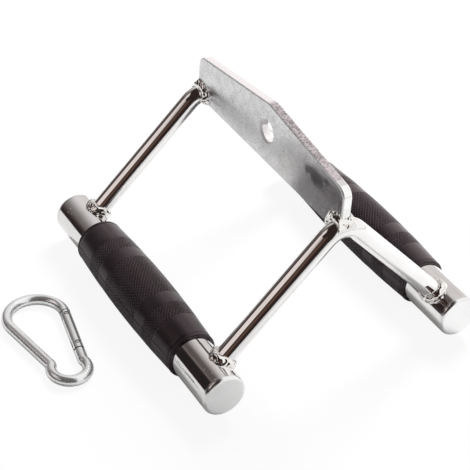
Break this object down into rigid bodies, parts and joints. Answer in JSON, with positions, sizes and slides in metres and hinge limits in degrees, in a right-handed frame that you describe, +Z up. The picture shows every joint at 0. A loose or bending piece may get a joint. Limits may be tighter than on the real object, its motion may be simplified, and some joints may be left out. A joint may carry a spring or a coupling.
{
  "type": "triceps bar",
  "caption": "V-shaped triceps bar with rubber-covered chromed handles, bent rods and a hanger plate with a hook hole, and a snap hook with a sprung gate lying beside it.",
  "frame": {"origin": "centre of the hook hole in the hanger plate, in the middle of the plate's thickness", "axes": "+X across the two handles, away from the snap hook, along the hook hole's axis; +Y along the handles, to the rear; +Z up"},
  "size_m": [0.309, 0.2366, 0.1591],
  "materials": {
    "chromed_tube": "bright chrome plating on drawn tube",
    "chromed_cap": "bright chrome plating, flat disc slightly duller than the rim",
    "chromed_rod": "bright chrome plating on round bar",
    "plated_flat_bar": "satin plating with cloudy shading and fine scratches, rough sawn top edge",
    "plated_weld": "plated weld bead, lumpy, with dark specks",
    "grip_rubber": "matt black rubber with patches of fine diamond knurl",
    "zinc_plated_wire": "bright zinc plating",
    "zinc_plated_pin": "bright zinc plating",
    "spring_wire": "plain spring wire"
  },
  "bodies": {
    "bar": {"left_handle_tube": "chromed_tube", "right_handle_tube": "chromed_tube", "left_front_end_cap": "chromed_cap", "left_rear_end_cap": "chromed_cap", "right_front_end_cap": "chromed_cap", "right_rear_end_cap": "chromed_cap", "left_grip": "grip_rubber", "right_grip": "grip_rubber", "front_rod": "chromed_rod", "rear_rod": "chromed_rod", "hanger_plate": "plated_flat_bar", "left_front_foot_weld": "plated_weld", "left_rear_foot_weld": "plated_weld", "right_front_foot_weld": "plated_weld", "right_rear_foot_weld": "plated_weld", "front_plate_weld": "plated_weld", "rear_plate_weld": "plated_weld"},
    "snap_hook": {"snap_hook_body": "zinc_plated_wire"},
    "gate": {"snap_hook_gate": "zinc_plated_wire", "snap_hook_rivet": "zinc_plated_pin", "snap_hook_latch_pin": "zinc_plated_pin", "snap_hook_spring": "spring_wire"},
    "plunger": {"snap_hook_plunger": "zinc_plated_pin"}
  },
  "joints": [
    {"name": "snap_hook_lift", "type": "slide", "parent": "bar", "child": "snap_hook", "axis": [0, 0, 1], "range_m": [0, 0.18]},
    {"name": "gate_hinge", "type": "hinge", "parent": "snap_hook", "child": "gate", "pos_m": [-0.14733, 0.02291, -0.13255], "axis": [0, 0, -1], "range_deg": [0, 26], "stiffness_Nm_per_rad": 0.3, "springref_deg": -34.38},
    {"name": "plunger_slide", "type": "slide", "parent": "gate", "child": "plunger", "axis": [-0.1891, -0.982, 0], "range_m": [0, 0.0014], "deforming": ["snap_hook_spring"]}
  ],
  "couplings": [
    {"joint": "plunger_slide", "follows": "gate_hinge", "m_per_rad": 0.003}
  ]
}
